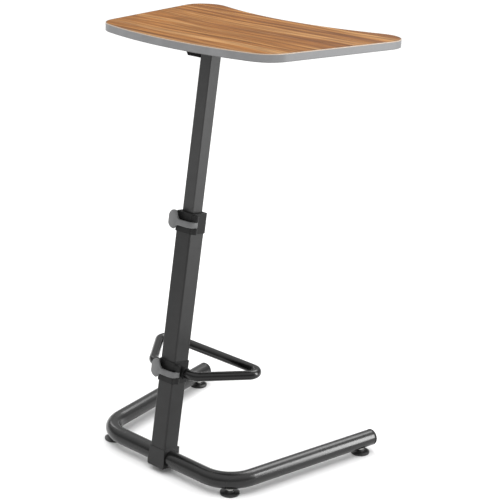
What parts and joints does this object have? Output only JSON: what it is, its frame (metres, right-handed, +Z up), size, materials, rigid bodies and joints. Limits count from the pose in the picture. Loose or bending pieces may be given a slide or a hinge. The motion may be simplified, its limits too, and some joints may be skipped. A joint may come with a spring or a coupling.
{
  "type": "height-adjustable standing desk",
  "caption": "Free-standing sit/stand desk: curved work surface on a leaning telescopic column, U-shaped tube base, sliding tube footrest and cam-lever height locks.",
  "frame": {"origin": "on the floor under the middle of the desk's bounding box at full height", "axes": "+Z up, -Y towards the user, X across the desk with the lever pivots on the -X side"},
  "size_m": [0.694, 0.5102, 1.112],
  "materials": {
    "charcoal_powder_coat": "satin powder coat with a fine texture",
    "black_powder_coat": "semi-gloss powder coat",
    "black_plastic": "moulded, fine texture",
    "foot_plastic": "moulded",
    "zinc_steel": "bright zinc plate",
    "black_steel": "black oxide",
    "lever_grey": "moulded, fine texture",
    "nylon": "natural nylon",
    "brake_rubber": "ground friction face",
    "particle_board": "raw board, hidden",
    "wood_laminate": "warm oak woodgrain laminate, low sheen",
    "backer_sheet": "brown-black backing sheet",
    "edge_grey": "grey edge banding"
  },
  "bodies": {
    "base": {"base_tube": "charcoal_powder_coat", "base_end_cap_left": "black_plastic", "base_end_cap_right": "black_plastic", "foot_inserts": "zinc_steel", "column_foot_bracket": "charcoal_powder_coat", "foot_bracket_bolts": "black_steel", "outer_column": "charcoal_powder_coat", "column_guide_bush": "nylon", "upper_collar": "black_plastic", "upper_collar_screws": "black_steel", "upper_lever_pin": "black_steel"},
    "riser": {"inner_column": "charcoal_powder_coat", "column_glide_plug": "nylon", "top_plate": "black_powder_coat", "top_gussets": "black_powder_coat", "top_plate_screws": "black_steel", "desktop_core": "particle_board", "desktop_laminate": "wood_laminate", "desktop_backer": "backer_sheet", "desktop_edge_band": "edge_grey"},
    "upper_lever": {"upper_cam_lever": "lever_grey"},
    "upper_pad": {"upper_brake_pad": "brake_rubber"},
    "footrest": {"footrest_collar": "black_plastic", "footrest_bar": "black_powder_coat", "footrest_bar_screws": "black_steel", "footrest_lever_pin": "black_steel"},
    "footrest_lever": {"footrest_cam_lever": "lever_grey"},
    "footrest_pad": {"footrest_brake_pad": "brake_rubber"},
    "foot_1": {"foot_stem_1": "zinc_steel", "foot_pad_1": "foot_plastic"},
    "foot_2": {"foot_stem_2": "zinc_steel", "foot_pad_2": "foot_plastic"},
    "foot_3": {"foot_stem_3": "zinc_steel", "foot_pad_3": "foot_plastic"},
    "foot_4": {"foot_stem_4": "zinc_steel", "foot_pad_4": "foot_plastic"}
  },
  "joints": [
    {"name": "height_slide", "type": "slide", "parent": "base", "child": "riser", "axis": [0, -0.1364, 0.9907], "range_m": [-0.37, 0]},
    {"name": "upper_lever_hinge", "type": "hinge", "parent": "base", "child": "upper_lever", "pos_m": [-0.034, 0.16164, 0.65161], "axis": [0, -0.1364, 0.9907], "range_deg": [0, 100]},
    {"name": "upper_pad_slide", "type": "slide", "parent": "base", "child": "upper_pad", "axis": [-1, 0, 0], "range_m": [0, 0.0008]},
    {"name": "footrest_slide", "type": "slide", "parent": "base", "child": "footrest", "axis": [0, -0.1364, 0.9907], "range_m": [-0.165, 0.3]},
    {"name": "footrest_lever_hinge", "type": "hinge", "parent": "footrest", "child": "footrest_lever", "pos_m": [-0.034, 0.21429, 0.26921], "axis": [0, -0.1364, 0.9907], "range_deg": [0, 100]},
    {"name": "footrest_pad_slide", "type": "slide", "parent": "footrest", "child": "footrest_pad", "axis": [-1, 0, 0], "range_m": [0, 0.0008]},
    {"name": "foot_1_screw", "type": "slide", "parent": "base", "child": "foot_1", "axis": [0, 0, 1], "range_m": [-0.012, 0]},
    {"name": "foot_2_screw", "type": "slide", "parent": "base", "child": "foot_2", "axis": [0, 0, 1], "range_m": [-0.012, 0]},
    {"name": "foot_3_screw", "type": "slide", "parent": "base", "child": "foot_3", "axis": [0, 0, 1], "range_m": [-0.012, 0]},
    {"name": "foot_4_screw", "type": "slide", "parent": "base", "child": "foot_4", "axis": [0, 0, 1], "range_m": [-0.012, 0]}
  ],
  "couplings": [
    {"joint": "upper_pad_slide", "follows": "upper_lever_hinge", "m_per_rad": 0.00045814},
    {"joint": "footrest_pad_slide", "follows": "footrest_lever_hinge", "m_per_rad": 0.00045814}
  ]
}
